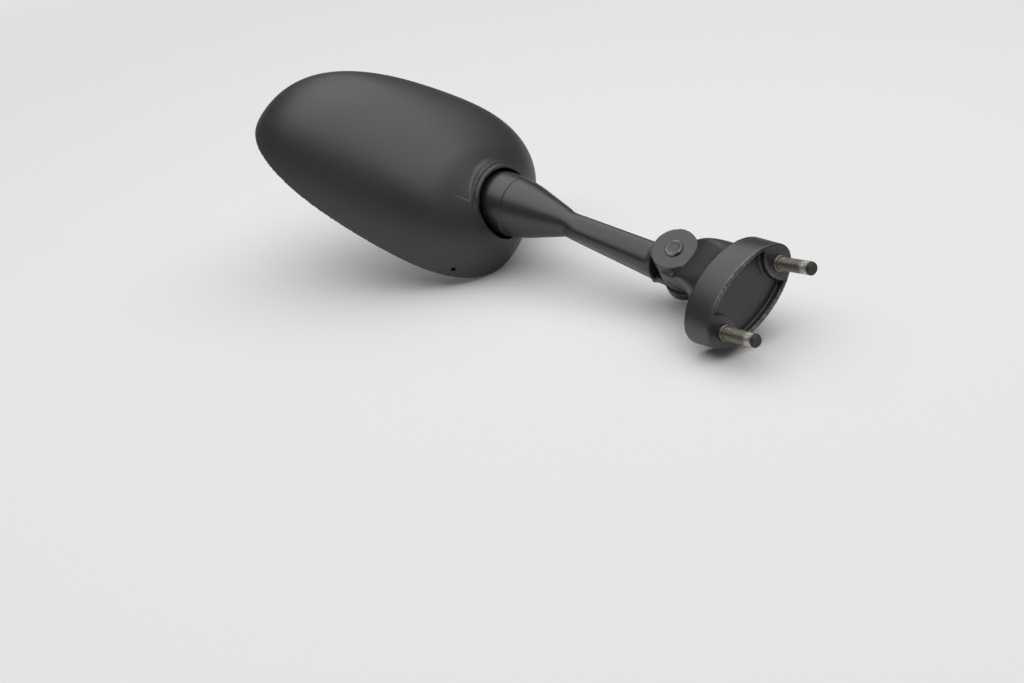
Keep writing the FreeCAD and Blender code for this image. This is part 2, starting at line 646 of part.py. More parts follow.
lip = size("collar_lip")
collar_base = collar_in_head * at(0, 0, -size("collar_deep"))
collar = cylinder("collar", collar_base, size("collar_dia"), lip + size("collar_deep"))
collar_step = cylinder("collar_step_ring", collar_base, size("collar_step_dia"),
                       lip + size("collar_deep") - size("collar_step"))
bowl_outside = sphere("bowl_outside", collar_in_head, socket_outer * 2)
bowl_half = cylinder("bowl_half", collar_in_head * at(0, 0, -socket_outer), socket_outer * 2, socket_outer)
socket_bowl = common("socket_bowl", bowl_outside, bowl_half)
bowl_inside = sphere("bowl_inside", collar_in_head, socket_inner * 2)
mouth = cylinder("mouth", collar_in_head, size("collar_mouth"), socket_outer * 2)
joint_in_head = head_frame.inverse() * joint_frame
bolt_way = cylinder("bolt_way", joint_in_head, size("socket_hole"), socket_outer * 2)

glass_centre = size("glass_sunk") + size("glass_radius")
foam_face = size("glass_radius") - size("glass_thick")
plate_face = foam_face - size("foam_thick")
plate_back = plate_face - size("plate_thick")


SEAM_AWAY = Rotation(Vector(0, 1, 0), -QUARTER_TURN)


def lens_ball(name, radius):
    """A sphere of the glass's curvature, with its seam and poles far from the glass."""
    return sphere(name, at(0, 0, glass_centre, SEAM_AWAY), radius * 2)


post_places = []
for pair in ("far", "near"):
    for sign in (1, -1):
        post_along = half_rim_len - size(f"post_{pair}_from_end")
        post_across = (half_rim_wid - size(f"post_{pair}_from_side")) * sign
        post_places.append((post_along, post_across))
post_blanks = [cylinder(f"post_blank_{index}", at(*place, 0), size("post_dia"), size("shell_high"))
               for index, place in enumerate(post_places)]
post_floor = lens_ball("post_floor", plate_back - size("post_gap"))
posts = common("posts", fuse("post_blanks", *post_blanks), outer_dome, post_floor)
pilot_high = size("screw_len") + size("plate_thick") * 4
pilots = [cylinder(f"pilot_{index}", at(*place, 0), size("screw_dia"), pilot_high)
          for index, place in enumerate(post_places)]
# The drain is drilled from inside the cavity, square to the wall.
DRAIN_FROM = 0.4
drain_along = size("drain_from_end") - half_rim_len
drain_turn = Rotation(Vector(0, 0, 1), Vector(drain_along.value * DRAIN_FROM, half_rim_wid.value, 0))
drain_place = at(drain_along, size("shell_wid") * DRAIN_FROM, size("drain_high"), drain_turn)
drain = cylinder("drain", drain_place, size("drain_dia"), size("shell_wid") / 2)
socket = common("socket", fuse("socket_blank", collar, collar_step, socket_bowl),
                lens_ball("socket_floor", plate_back - size("socket_gap")))
shell_body = fuse("shell_body", skin, socket, posts)
shell = cut("shell", shell_body, bowl_inside, mouth, bolt_way, drain, *pilots)
node("housing_shell", shell, head_frame)


# Glass, foam tape and backing plate: three slabs of one convex form behind the rim.

def slab(name, inset, front, back):
    """A slice of the cavity, drawn in by an inset, between two spheres of the glass's curvature."""
    block = modelled(f"{name}_block", dome_solid(inset, -CLEAR))
    solid = common(f"{name}_front", block, lens_ball(f"{name}_face", front))
    return cut(f"{name}_slab", solid, lens_ball(f"{name}_rear", back))


glass_inset = mm("shell_wall") + mm("glass_gap")
node("mirror_glass", slab("glass", glass_inset, size("glass_radius"), foam_face), head_frame)

window_middle = joint_in_head.multVec(Vector(0, 0, mm("window_shift")))
window_place = at(window_middle.x, window_middle.y, -CLEAR)
seat_drop = size("foam_thick") + size("screw_sunk")


def screw_height(along, across):
    """Height of the screw's seat in the plate at a post."""
    radius = foam_face - seat_drop
    drop = Size(math.sqrt(radius.value ** 2 - along.value ** 2 - across.value ** 2),
                f"sqrt({radius.formula} ^ 2 - {along.formula} ^ 2 - {across.formula} ^ 2)")
    return glass_centre - drop


def wells(name, plays):
    """Round wells for the screw heads, from the glass down to their seats."""
    well_dia = size("screw_head_dia") + size("screw_play") * plays
    return [cylinder(f"{name}_{index}", at(*place, -CLEAR), well_dia, screw_height(*place) + CLEAR)
            for index, place in enumerate(post_places)]


FOAM_PLAYS, PLATE_PLAYS, HOLE_PLAYS = 4, 2, 2
film = size("foam_film")
foam = slab("foam", glass_inset + mm("foam_inset"), foam_face - film, plate_face + film)
foam_window = cylinder("foam_window", window_place, size("joint_window"), size("shell_high"))
node("foam_pad", cut("foam_cut", foam, foam_window, *wells("foam_well", FOAM_PLAYS)), head_frame)

plate = slab("plate", glass_inset + mm("plate_inset"), plate_face, plate_back)
plate_window = cylinder("plate_window", window_place, size("joint_window"), size("shell_high"))
hole_dia = size("screw_dia") + size("screw_play") * HOLE_PLAYS
plate_holes = [cylinder(f"plate_hole_{index}", at(*place, 0), hole_dia, size("shell_high"))
               for index, place in enumerate(post_places)]
plate_cut = cut("plate_cut", plate, plate_window, *wells("plate_well", PLATE_PLAYS), *plate_holes)
node("backing_plate", plate_cut, head_frame)

screw_radius = size("screw_dia") / 2
screw_head_radius = size("screw_head_dia") / 2
screw_top = -size("screw_head_high")
screw_corners = ((ZERO, screw_top), (screw_head_radius, screw_top), (screw_head_radius, ZERO),
                 (screw_radius, ZERO), (screw_radius, size("screw_len") - screw_radius),
                 (ZERO, size("screw_len")))
screws = [turned(f"screw_{index}", screw_corners, at(*place, screw_height(*place)))
          for index, place in enumerate(post_places)]
node("plate_screws", group("screws", *screws), head_frame)


# Every feature has to be sound before anything is written.

doc.recompute()
for feature in doc.Objects:
    if "Invalid" in feature.State or "Error" in feature.State:
        raise RuntimeError(f"{feature.Name} failed: {feature.State}")
for solid in nodes:
    if solid.Shape.isNull() or not solid.Shape.isValid():
        raise RuntimeError(f"{solid.Label} has no sound shape")

os.makedirs("parts", exist_ok=True)
for solid in nodes:
    solid.Shape.exportStep(f"parts/{solid.Label}.step")
    print(solid.Label, len(solid.Shape.Solids), round(solid.Shape.Volume, 1))
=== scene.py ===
import math

import bmesh
import bpy
from mathutils import Euler, Matrix, Vector


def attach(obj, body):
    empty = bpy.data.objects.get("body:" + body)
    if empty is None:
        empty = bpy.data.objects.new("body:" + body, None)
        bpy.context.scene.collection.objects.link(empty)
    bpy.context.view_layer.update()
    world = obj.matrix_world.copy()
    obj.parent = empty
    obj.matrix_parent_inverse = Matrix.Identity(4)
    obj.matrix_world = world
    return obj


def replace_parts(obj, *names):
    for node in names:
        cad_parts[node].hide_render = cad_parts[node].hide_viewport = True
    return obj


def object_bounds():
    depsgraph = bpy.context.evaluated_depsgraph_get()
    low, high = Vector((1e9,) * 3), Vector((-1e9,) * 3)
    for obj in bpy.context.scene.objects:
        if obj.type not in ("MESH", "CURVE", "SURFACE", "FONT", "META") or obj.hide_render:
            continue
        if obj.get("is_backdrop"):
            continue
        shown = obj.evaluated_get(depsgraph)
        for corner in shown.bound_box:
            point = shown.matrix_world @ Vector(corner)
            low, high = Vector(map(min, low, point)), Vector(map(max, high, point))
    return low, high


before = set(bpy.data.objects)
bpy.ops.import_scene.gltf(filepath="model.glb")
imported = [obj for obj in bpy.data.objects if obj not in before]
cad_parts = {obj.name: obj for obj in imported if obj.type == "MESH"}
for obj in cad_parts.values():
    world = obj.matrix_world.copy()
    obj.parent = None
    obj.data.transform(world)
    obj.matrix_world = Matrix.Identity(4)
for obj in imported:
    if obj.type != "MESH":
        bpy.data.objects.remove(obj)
cad_low, cad_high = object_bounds()


# Foot: the die casting that bolts to the fairing, an oval flange that narrows to two hinge ears.
# It is cast in light alloy, tumbled so that no edge stays sharp, and sprayed satin black.
# Handling has rubbed the coat thin along the lip of the flange and round the hinge disc.

MM = 0.001
FOOT_TURN = Euler((math.radians(77.1), math.radians(-30.4), math.radians(70.0))).to_matrix().to_4x4()
FOOT_VOXEL = 0.4 * MM
FOOT_ROUNDING = 2
FOOT_SHARE = 0.9


def added(name, data):
    """A new object in the scene."""
    made = bpy.data.objects.new(name, data)
    bpy.context.scene.collection.objects.link(made)
    return made


def softened(node, name, voxel, rounding, share=1.0):
    """A solid with the small roundings that tumbling or a mould gives its edges."""
    piece = added(name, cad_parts[node].data.copy())
    skin = piece.modifiers.new("even_skin", "REMESH")
    skin.mode = "VOXEL"
    skin.voxel_size = voxel
    soft = piece.modifiers.new("rounding", "SMOOTH")
    soft.factor = 0.5
    soft.iterations = rounding
    if share < 1.0:
        lean = piece.modifiers.new("lean_mesh", "DECIMATE")
        lean.ratio = share
    rounded = bpy.data.meshes.new_from_object(piece.evaluated_get(bpy.context.evaluated_depsgraph_get()))
    piece.modifiers.clear()
    piece.data = rounded
    rounded.materials.clear()
    rounded.shade_smooth()
    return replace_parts(piece, node)


def feed(tree, node, sockets):
    """Gives a shader node its inputs, as values or as links."""
    for socket, value in sockets.items():
        if isinstance(value, bpy.types.NodeSocket):
            tree.links.new(value, node.inputs[socket])
        else:
            node.inputs[socket].default_value = value


def place(tree, kind, sockets=None, **options):
    """Adds a shader node with its options and inputs."""
    made = tree.nodes.new("ShaderNode" + kind)
    for option, value in options.items():
        setattr(made, option, value)
    feed(tree, made, sockets or {})
    return made


def mixed(tree, mask, first, second):
    """A colour that goes from first to second as the mask rises; 6, 7 and 2 are the node's colour sockets."""
    return place(tree, "Mix", {0: mask, 6: first, 7: second}, data_type="RGBA").outputs[2]


def ranged(tree, value, low, high, first=0.0, second=1.0):
    """A value stretched from low and high to first and second."""
    sockets = {"Value": value, "From Min": low, "From Max": high, "To Min": first, "To Max": second}
    return place(tree, "MapRange", sockets).outputs["Result"]


def maths(tree, operation, first, second=0.0):
    """One step of arithmetic on values."""
    return place(tree, "Math", {0: first, 1: second}, operation=operation).outputs["Value"]


def vectors(tree, operation, first, second):
    """One step of arithmetic on vectors; a product or a distance comes out as a value."""
    made = place(tree, "VectorMath", {0: first, 1: second}, operation=operation)
    return made.outputs["Value" if operation in ("DOT_PRODUCT", "DISTANCE") else "Vector"]


def on_piece(tree):
    """Where a point lies, in the piece's own coordinates."""
    return place(tree, "TexCoord").outputs["Object"]


MOST_CLOUDS = (0.3, 0.7)


def clouds(tree, scale, detail=2.0, roughness=0.5):
    """Soft noise that stays on the piece, scale per metre; most of it lies within MOST_CLOUDS."""
    sockets = {"Vector": on_piece(tree), "Scale": scale, "Detail": detail, "Roughness": roughness}
    return place(tree, "TexNoise", sockets).outputs[0]


def effect(name, inputs, outputs):
    """A shared effect: its node group, the sockets that lead into it and the node that leads out."""
    group = bpy.data.node_groups.new(name, "ShaderNodeTree")
    for socket, value in inputs.items():
        made = group.interface.new_socket(socket, in_out="INPUT", socket_type="NodeSocketFloat")
        made.default_value = value
    for socket in outputs:
        group.interface.new_socket(socket, in_out="OUTPUT", socket_type="NodeSocketFloat")
    return group, group.nodes.new("NodeGroupInput").outputs, group.nodes.new("NodeGroupOutput")


def shared(tree, group, **sockets):
    """Puts a shared effect into a finish, and gives the effect's outputs."""
    return place(tree, "Group", sockets, node_tree=group).outputs


# Sprayed or moulded skin: a fine pebble for the bump, and broad soft patches for the tone.
PEEL_SCALE = 0.22
skin_grain, given, result = effect("skin_grain", {"Grain": 2200.0, "Patch": 45.0}, ("Height", "Tone"))
pebble = clouds(skin_grain, given["Grain"], detail=2.0, roughness=0.6)
peel = clouds(skin_grain, maths(skin_grain, "MULTIPLY", given["Grain"], PEEL_SCALE), detail=1.0)
patches = clouds(skin_grain, given["Patch"], detail=4.0, roughness=0.6)
feed(skin_grain, result, {"Height": maths(skin_grain, "ADD", pebble, peel),
                          "Tone": ranged(skin_grain, patches, *MOST_CLOUDS)})

# Rubbed edges: sharp outer edges lose their coat in broken patches.
GAP_EDGE = 0.06
wear_inputs = {"From": 0.54, "To": 0.6, "Patch": 350.0, "Gaps": 0.5}
rubbed_edges, given, result = effect("rubbed_edges", wear_inputs, ("Bare",))
edge = place(rubbed_edges, "NewGeometry").outputs["Pointiness"]
sharp = ranged(rubbed_edges, edge, given["From"], given["To"])
patches = clouds(rubbed_edges, given["Patch"], detail=3.0, roughness=0.65)
open_from = maths(rubbed_edges, "SUBTRACT", given["Gaps"], GAP_EDGE)
open_to = maths(rubbed_edges, "ADD", given["Gaps"], GAP_EDGE)
broken = ranged(rubbed_edges, patches, open_from, open_to)
feed(rubbed_edges, result, {"Bare": maths(rubbed_edges, "MULTIPLY", sharp, broken)})

# Specks: pale lint and dust that lie scattered on a dark skin.
SPECK_CELLS = (0.9, 0.93)
SPECK_CORE = 0.5
lint_specks, given, result = effect("lint_specks", {"Spread": 420.0, "Size": 0.1}, ("Speck",))
cell_inputs = {"Vector": on_piece(lint_specks), "Scale": given["Spread"], "Randomness": 1.0}
cells = place(lint_specks, "TexVoronoi", cell_inputs).outputs
chosen = place(lint_specks, "SeparateColor", {"Color": cells["Color"]}).outputs["Red"]
few = ranged(lint_specks, chosen, *SPECK_CELLS)
core = maths(lint_specks, "MULTIPLY", given["Size"], SPECK_CORE)
small = ranged(lint_specks, cells["Distance"], given["Size"], core)
feed(lint_specks, result, {"Speck": maths(lint_specks, "MULTIPLY", few, small)})


def shader(name):
    """A new finish: its material, its node tree and its Principled shader."""
    finish = bpy.data.materials.new(name)
    finish.use_nodes = True
    return finish, finish.node_tree, finish.node_tree.nodes["Principled BSDF"]


def bumped(tree, height, depth, strength):
    """The normal of a surface that a height has roughened."""
    return place(tree, "Bump", {"Height": height, "Distance": depth, "Strength": strength}).outputs["Normal"]


SATIN_BLACK = (0.0125, 0.0122, 0.0113, 1.0)
WORN_BLACK = (0.019, 0.0184, 0.017, 1.0)
BARE_ALLOY = (0.33, 0.32, 0.30, 1.0)
LINT = (0.22, 0.21, 0.19, 1.0)
ALLOY_METALLIC = 0.85
SATIN_ROUGHNESS = (0.34, 0.42)
SKIN_SHEEN = 0.85


def satin_coat(name, worn_from, worn_to, gaps, rubbed=None):
    """Satin black spray on a casting, rubbed through to the alloy at its sharpest edges."""
    finish, tree, principled = shader(name)
    grain = shared(tree, skin_grain, Grain=1900.0, Patch=60.0)
    speck = shared(tree, lint_specks, Spread=300.0, Size=0.08)["Speck"]
    bare = shared(tree, rubbed_edges, From=worn_from, To=worn_to, Patch=420.0, Gaps=gaps)["Bare"]
    if rubbed:
        bare = maths(tree, "MAXIMUM", bare, rubbed(tree))
    black = mixed(tree, grain["Tone"], SATIN_BLACK, WORN_BLACK)
    dusty = mixed(tree, speck, black, LINT)
    feed(tree, principled, {
        "Base Color": mixed(tree, bare, dusty, BARE_ALLOY),
        "Metallic": maths(tree, "MULTIPLY", bare, ALLOY_METALLIC),
        "Roughness": ranged(tree, grain["Tone"], 0.0, 1.0, *SATIN_ROUGHNESS),
        "Specular IOR Level": SKIN_SHEEN,
        "Normal": bumped(tree, grain["Height"], depth=0.05 * MM, strength=0.35),
    })
    return finish


LIP_EDGE = (-1.3 * MM, -0.2 * MM)
LIP_SPAN = (17.0 * MM, 12.0 * MM)
LIP_PATCHES = (0.4, 0.62)
LIP_BARE = (0.05, 0.55)


def rubbed_lip(tree):
    """The flange's lip between the studs, where the fairing has rubbed the coat thin."""
    turn = FOOT_TURN.to_3x3()
    out = vectors(tree, "DOT_PRODUCT", on_piece(tree), turn.col[2])
    across = vectors(tree, "DOT_PRODUCT", on_piece(tree), turn.col[0])
    between = ranged(tree, maths(tree, "ABSOLUTE", across), *LIP_SPAN)
    lip = maths(tree, "MULTIPLY", ranged(tree, out, *LIP_EDGE), between)
    patches = clouds(tree, 650.0, detail=3.0, roughness=0.7)
    return maths(tree, "MULTIPLY", lip, ranged(tree, patches, *LIP_PATCHES, *LIP_BARE))


foot = softened("base_foot", "foot_casting", FOOT_VOXEL, FOOT_ROUNDING, FOOT_SHARE)
foot.data.materials.append(satin_coat("satin_black_foot", worn_from=0.53, worn_to=0.6, gaps=0.52,
                                      rubbed=rubbed_lip))
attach(foot, "base")


# Mounting studs: a pair of M6 screws cast into the foot, each with a turned collar at its root.
# The zinc has browned. Nuts have polished the crests of the rolled thread and left it bright near
# the tip, and the tips themselves are dark.

STUD_SPACING = 40.0 * MM
STUD_RADIUS = 3.0 * MM
STUD_OUT = 22.0 * MM
STUD_IN = 10.0 * MM
ROOT_RADIUS = 3.6 * MM
ROOT_LENGTH = 1.8 * MM
ROOT_EDGE = 0.25 * MM
TIP_CHAMFER = 0.9 * MM
TIP_DISH = 0.05 * MM
TIP_FLAT = 0.6
THREAD_PITCH = 1.0 * MM
THREAD_DEPTH = 0.56 * MM
THREAD_START = ROOT_LENGTH + 0.3 * MM
THREAD_CREST = 0.2
THREAD_FLANK = 0.65
ROWS_PER_TURN = 12
STUD_SEGMENTS = 48
SHARP_EDGE = math.radians(40.0)


def turned(name, rows, segments, radius_at):
    """A turned piece about Z from (radius, height) rows; radius_at shapes each radius round the turn."""
    mesh = bmesh.new()
    rings = []
    for radius, height in rows:
        ring = []
        for step in range(segments):
            turn = step / segments
            reach = radius_at(radius, height, turn)
            angle = 2 * math.pi * turn
            ring.append(mesh.verts.new((reach * math.cos(angle), reach * math.sin(angle), height)))
        rings.append(ring)
    for lower, upper in zip(rings, rings[1:]):
        for step in range(segments):
            beside = (step + 1) % segments
            mesh.faces.new((lower[step], lower[beside], upper[beside], upper[step]))
    mesh.faces.new(list(reversed(rings[0])))
    mesh.faces.new(rings[-1])
    data = bpy.data.meshes.new(name)
    mesh.to_mesh(data)
    mesh.free()
    data.shade_smooth()
    data.set_sharp_from_angle(angle=SHARP_EDGE)
    return data


def thread_radius(radius, height, turn):
    """Radius of the rolled thread: rounded crests, and a run-out at the collar."""
    if height < THREAD_START:
        return radius
    phase = (height / THREAD_PITCH - turn) % 1.0
    valley = abs(phase - 0.5) * 2.0
    flank = min(max((valley - THREAD_CREST) / THREAD_FLANK, 0.0), 1.0)
    run_out = min((height - THREAD_START) / THREAD_PITCH, 1.0)
    return min(radius, STUD_RADIUS - THREAD_DEPTH * flank * run_out)


stud_rows = [(STUD_RADIUS, -STUD_IN), (STUD_RADIUS, 0.0), (ROOT_RADIUS - ROOT_EDGE, 0.0),
             (ROOT_RADIUS, ROOT_EDGE), (ROOT_RADIUS, ROOT_LENGTH - ROOT_EDGE),
             (ROOT_RADIUS - ROOT_EDGE, ROOT_LENGTH), (STUD_RADIUS, ROOT_LENGTH)]
thread_rows = round((STUD_OUT - THREAD_START) / THREAD_PITCH * ROWS_PER_TURN)
for row in range(thread_rows + 1):
    height = THREAD_START + (STUD_OUT - THREAD_START) * row / thread_rows
    stud_rows.append((STUD_RADIUS - max(0.0, height - STUD_OUT + TIP_CHAMFER), height))
stud_rows.append(((STUD_RADIUS - TIP_CHAMFER) * TIP_FLAT, STUD_OUT - TIP_DISH))
stud_mesh = turned("threaded_stud", stud_rows, STUD_SEGMENTS, thread_radius)

BROWNED_ZINC = (0.10, 0.084, 0.068, 1.0)
CLEANER_ZINC = (0.18, 0.156, 0.128, 1.0)
POLISHED_ZINC = (0.4, 0.375, 0.34, 1.0)
BRIGHT_ZINC = (0.7, 0.68, 0.64, 1.0)
TIP_BLACK = (0.035, 0.034, 0.033, 1.0)
ZINC_GRIME = (0.35, 0.65)
THREAD_CRESTS = (0.5, 0.62)
NUT_RUN = (STUD_OUT - 6.5 * MM, STUD_OUT - 5.0 * MM)
NUT_PATCHES = (0.42, 0.56)
DARK_TIP = (STUD_OUT - 2.4 * MM, STUD_OUT - 1.4 * MM)
STUD_METALLIC = (0.9, 0.3)
STUD_ROUGHNESS = (0.32, 0.5)

stud_finish, tree, principled = shader("browned_zinc")
grime = clouds(tree, 900.0, detail=3.0, roughness=0.7)
zinc = mixed(tree, ranged(tree, grime, *ZINC_GRIME), BROWNED_ZINC, CLEANER_ZINC)
crest = place(tree, "NewGeometry").outputs["Pointiness"]
zinc = mixed(tree, ranged(tree, crest, *THREAD_CRESTS), zinc, POLISHED_ZINC)
along = place(tree, "SeparateXYZ", {"Vector": on_piece(tree)}).outputs["Z"]
patches = ranged(tree, clouds(tree, 1500.0, detail=3.0, roughness=0.7), *NUT_PATCHES)
zinc = mixed(tree, maths(tree, "MULTIPLY", ranged(tree, along, *NUT_RUN), patches), zinc, BRIGHT_ZINC)
tip = ranged(tree, along, *DARK_TIP)
feed(tree, principled, {
    "Base Color": mixed(tree, tip, zinc, TIP_BLACK),
    "Metallic": ranged(tree, tip, 0.0, 1.0, *STUD_METALLIC),
    "Roughness": ranged(tree, grime, *MOST_CLOUDS, *STUD_ROUGHNESS),
    "Normal": bumped(tree, clouds(tree, 2600.0), depth=0.04 * MM, strength=0.4),
})
stud_mesh.materials.append(stud_finish)
for side, sign in (("upper", 1.0), ("lower", -1.0)):
    stud = added(f"mounting_stud_{side}", stud_mesh)
    stud.matrix_world = FOOT_TURN @ Matrix.Translation((sign * STUD_SPACING / 2, 0.0, 0.0))
    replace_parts(stud, "mounting_studs")
    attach(stud, "base")


# Hinge pivot: a stout rivet through both ears, its end peened over on the upper disc.
# It was blacked with the foot, and the peening left a dished middle and a worn rim.

HINGE_TILT = math.radians(24.0)
HINGE_SPOT = Vector((6.0, 9.0, -49.8)) * MM
HINGE_TURN = Matrix(((0.0, -1.0, 0.0), (math.sin(HINGE_TILT), 0.0, math.cos(HINGE_TILT)),
                     (-math.cos(HINGE_TILT), 0.0, math.sin(HINGE_TILT)))).to_4x4()
HINGE_FRAME = FOOT_TURN @ Matrix.Translation(HINGE_SPOT) @ HINGE_TURN
RIVET_ROWS = ((0.6, -18.3), (5.2, -18.4), (6.1, -18.2), (6.5, -17.4), (4.0, -17.4), (4.0, 10.0), (4.4, 10.0),
              (4.4, 10.4), (4.25, 10.72), (3.9, 10.94), (3.4, 11.0), (2.9, 10.9), (2.5, 10.72), (1.6, 10.64),
              (0.4, 10.62))
RIVET_SEGMENTS = 64
PEENED_FROM = 10.3 * MM
FACETS = (7, 3)
FACET_SHIFT = 0.8
FACET_DEPTH = 0.012


def peened(radius, height, turn):
    """Hammer facets round the peened rim."""
    if height <= PEENED_FROM:
        return radius
    angle = 2 * math.pi * turn
    facets = math.sin(FACETS[0] * angle) * math.sin(FACETS[1] * angle + FACET_SHIFT)
    return radius * (1.0 + FACET_DEPTH * facets)


rivet_rows = [(radius * MM, height * MM) for radius, height in RIVET_ROWS]
rivet_mesh = turned("peened_rivet", rivet_rows, RIVET_SEGMENTS, peened)
rivet = added("hinge_rivet", rivet_mesh)
rivet.matrix_world = HINGE_FRAME
rivet_mesh.materials.append(satin_coat("blacked_rivet", worn_from=0.5, worn_to=0.56, gaps=0.5))
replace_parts(rivet, "pivot_rivet")
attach(rivet, "base")


# Hinge washers: two plain spring steel washers that give the fold its friction.
# They lie on each side of the arm's tongue, greased, and only their edges show in the slot.

WASHER_DULL = (0.2, 0.2, 0.2, 1.0)
WASHER_BRIGHT = (0.36, 0.36, 0.36, 1.0)
STEEL_METALLIC = 0.95
STEEL_ROUGHNESS = (0.28, 0.46)


def machined_steel(name, dull, bright, grain):
    """Plain or plated steel with fine tool marks and a greasy bloom."""
    finish, tree, principled = shader(name)
    bloom = clouds(tree, 260.0, detail=3.0, roughness=0.6)
    feed(tree, principled, {
        "Base Color": mixed(tree, ranged(tree, bloom, *MOST_CLOUDS), dull, bright),
        "Metallic": STEEL_METALLIC,
        "Roughness": ranged(tree, bloom, *MOST_CLOUDS, *STEEL_ROUGHNESS),
        "Normal": bumped(tree, clouds(tree, grain, detail=1.0), depth=0.03 * MM, strength=0.4),
    })
    return finish


def dressed(node, finish):
    """Gives a solid of the frame its finish."""
    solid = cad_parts[node]
    solid.data.materials.clear()
    solid.data.materials.append(finish)
    return solid


dressed("pivot_washers", machined_steel("greased_steel", WASHER_DULL, WASHER_BRIGHT, grain=1500.0))


# Arm: one die casting, from the hinge tongue over a bar with rounded corners to a bell and a ball.
# The bar's flat side runs on from the hinge disc, and a turned groove parts the bell from the ball.
# It has the same satin black spray as the foot.

ARM_VOXEL = 0.42 * MM
ARM_ROUNDING = 5
ARM_FOLD = math.radians(3.6)
ROD_END = Vector((66.0, 4.0, 0.0)) * MM
BELL_BEND = math.radians(4.2)
BELL_LENGTH = 45.7 * MM
ARM_FRAME = HINGE_FRAME @ Matrix.Rotation(ARM_FOLD, 4, "Z")
BELL_FRAME = ARM_FRAME @ Matrix.Translation(ROD_END) @ Matrix.Rotation(BELL_BEND, 4, "Z")
BALL_FRAME = BELL_FRAME @ Matrix.Translation((BELL_LENGTH, 0.0, 0.0))

# The bar: its round radius, the swell and drop towards the hinge, its squared section, and where that runs.
ROD_RADIUS = 6.42 * MM
ROD_START = 9.5 * MM
ROD_SWELL = (1.5 * MM, 3.6 * MM)
ROD_DROP = -2.0 * MM
ROD_CORNER = 3.6
ROD_TRIM = 0.93
ROD_LEAN = math.radians(9.0)
ROD_FLAT_FROM = (0.0, 0.06)
ROD_FLAT_TO = (0.8, 1.0)

# The ball and the bell, along the arm from the joint's centre; the bell falls by 1 mm in BELL_CURVE.
CAST_BALL = 18.0 * MM
BALL_RADIUS = 16.0 * MM
BALL_SOCKET = (-1.0 * MM, 9.0 * MM)
BELL_ROOT = -47.2 * MM
BELL_SLOPE = 0.3
BELL_CURVE = 12.26 * MM
BELL_TOP = -4.0 * MM
BELL_CROWN = BELL_TOP - BELL_SLOPE * BELL_CURVE ** 2 / (2 * MM)
BELL_BLEND = 4.0 * MM
BELL_SKIN = 0.5
BELL_SAG = (0.3 * MM, 0.3 * MM)
SAG_TO = Vector((0.0, -0.845, 0.535))

# The groove between them, and the cuts that give the mesh its edges there.
SEAM_AT = -13.5 * MM
SEAM_HALF = 0.3 * MM
SEAM_FLOOR = 0.9
SEAM_DEPTH = 0.5 * MM
SEAM_CUTS = (-1.0, -0.8, 0.0, 0.8, 1.0)
CUT_REACH = 1e-7


def eased(value, low, high):
    """A share that goes softly from 0 at low to 1 at high."""
    share = min(max((value - low) / (high - low), 0.0), 1.0)
    return share * share * (3.0 - 2.0 * share)


def bar_section(round_at):
    """Reach of the bar's squared section, as a share of the round rod's, at an angle round it."""
    squared = abs(math.cos(round_at)) ** ROD_CORNER + abs(math.sin(round_at)) ** ROD_CORNER
    return ROD_TRIM * squared ** (-1 / ROD_CORNER)


def bell_radius(along):
    """Radius of bell, groove and ball at a distance along from the joint's centre."""
    if abs(along - SEAM_AT) < SEAM_HALF * SEAM_FLOOR:
        return bell_radius(SEAM_AT - SEAM_HALF) - SEAM_DEPTH
    if along > BELL_TOP:
        bared = math.sqrt(max(BALL_RADIUS ** 2 - (along - BELL_TOP) ** 2, 0.0))
        gripped = math.sqrt(max(CAST_BALL ** 2 - along ** 2, 0.0))
        return bared + (gripped - bared) * eased(along, *BALL_SOCKET)
    if along > BELL_CROWN:
        return BALL_RADIUS - ((along - BELL_TOP) / BELL_CURVE) ** 2 * MM
    return ROD_RADIUS + BELL_SLOPE * (along - BELL_ROOT)


arm = softened("arm", "arm_casting", ARM_VOXEL, ARM_ROUNDING)
mesh = bmesh.new()
mesh.from_mesh(arm.data)

# The round rod is squared to a bar, seen from the hinge.
mesh.transform(ARM_FRAME.inverted())
for vertex in mesh.verts:
    along = vertex.co.x
    run = (along - ROD_START) / (ROD_END.x - ROD_START)
    flattened = eased(run, *ROD_FLAT_FROM) * (1 - eased(run, *ROD_FLAT_TO))
    if flattened:
        middle = Vector((along, ROD_END.y, ROD_DROP * (1 - run)))
        out = vertex.co - middle
        wide, tall = [ROD_RADIUS + swell * (1 - run) for swell in ROD_SWELL]
        round_at = math.atan2(out.z / tall, out.y / wide) + ROD_LEAN
        vertex.co = middle + out * (1 + (bar_section(round_at) - 1) * flattened)

# The far end is formed to the bell, the groove and the ball, seen from the joint's centre.
mesh.transform(BALL_FRAME.inverted() @ ARM_FRAME)
for cut in SEAM_CUTS:
    bmesh.ops.bisect_plane(mesh, geom=mesh.verts[:] + mesh.edges[:] + mesh.faces[:],
                           plane_co=(SEAM_AT + cut * SEAM_HALF, 0.0, 0.0), plane_no=(1.0, 0.0, 0.0),
                           dist=CUT_REACH)
for vertex in mesh.verts:
    along, side, high = vertex.co
    reach = math.hypot(side, high)
    if BELL_ROOT - BELL_BLEND < along < BALL_SOCKET[1] and reach > BELL_SKIN * bell_radius(along):
        stretch = bell_radius(max(along, BELL_ROOT)) / reach
        sag = BELL_SAG[0] + BELL_SAG[1] * max(along + BELL_LENGTH, 0.0) / BELL_LENGTH
        sag *= 1 - eased(along, *BALL_SOCKET)
        formed = Vector((along, side * stretch, high * stretch)) + SAG_TO * sag
        vertex.co = vertex.co.lerp(formed, eased(along, BELL_ROOT - BELL_BLEND, BELL_ROOT + BELL_BLEND))

mesh.transform(BALL_FRAME)
mesh.to_mesh(arm.data)
mesh.free()
arm.data.materials.append(satin_coat("satin_black_arm", worn_from=0.58, worn_to=0.7, gaps=0.56))
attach(arm, "arm")


